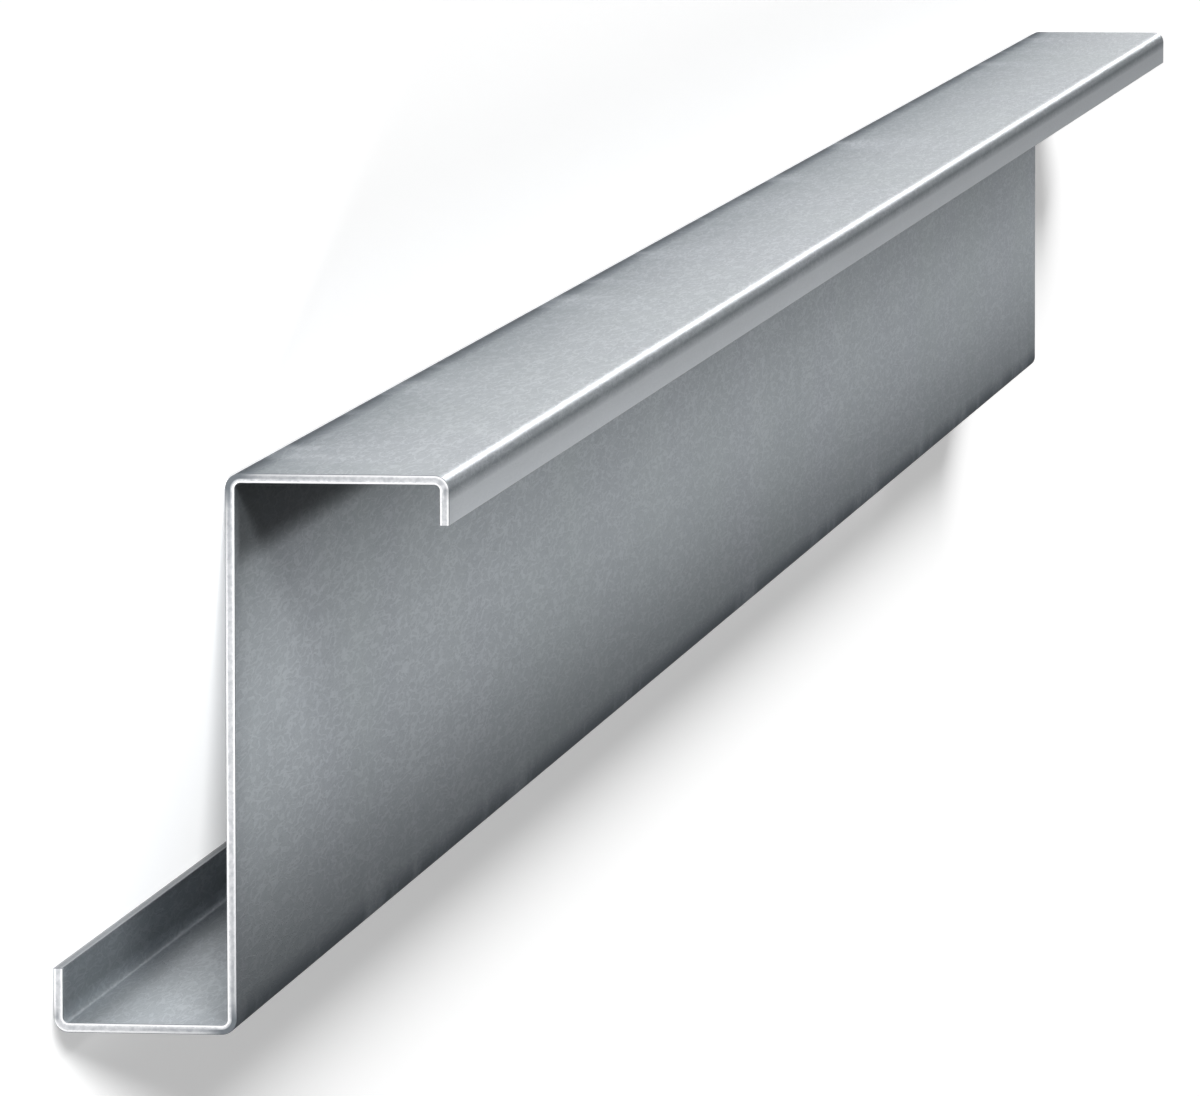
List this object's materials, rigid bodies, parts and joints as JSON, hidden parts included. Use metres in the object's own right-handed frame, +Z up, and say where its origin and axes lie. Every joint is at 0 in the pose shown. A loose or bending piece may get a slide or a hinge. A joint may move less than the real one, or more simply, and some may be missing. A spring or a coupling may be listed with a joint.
{
  "type": "z-purlin",
  "caption": "Galvanised roll-formed Z purlin: a deep web, a broad and a narrow flange turned opposite ways, each with a stiffening lip, to carry roof or wall sheeting.",
  "frame": {"origin": "on the floor under the middle of the box around the piece, at the middle of its length", "axes": "+Z up with the piece lying unheld on the floor, +Y along its length; the broad flange is on the -X side and the narrow flange on the +X side"},
  "size_m": [0.2334, 3, 0.0798],
  "materials": {
    "galvanised_steel": "hot-dip galvanised with a fine spangle, bare steel at the cut edges"
  },
  "bodies": {
    "root": {"purlin": "galvanised_steel"}
  },
  "joints": []
}
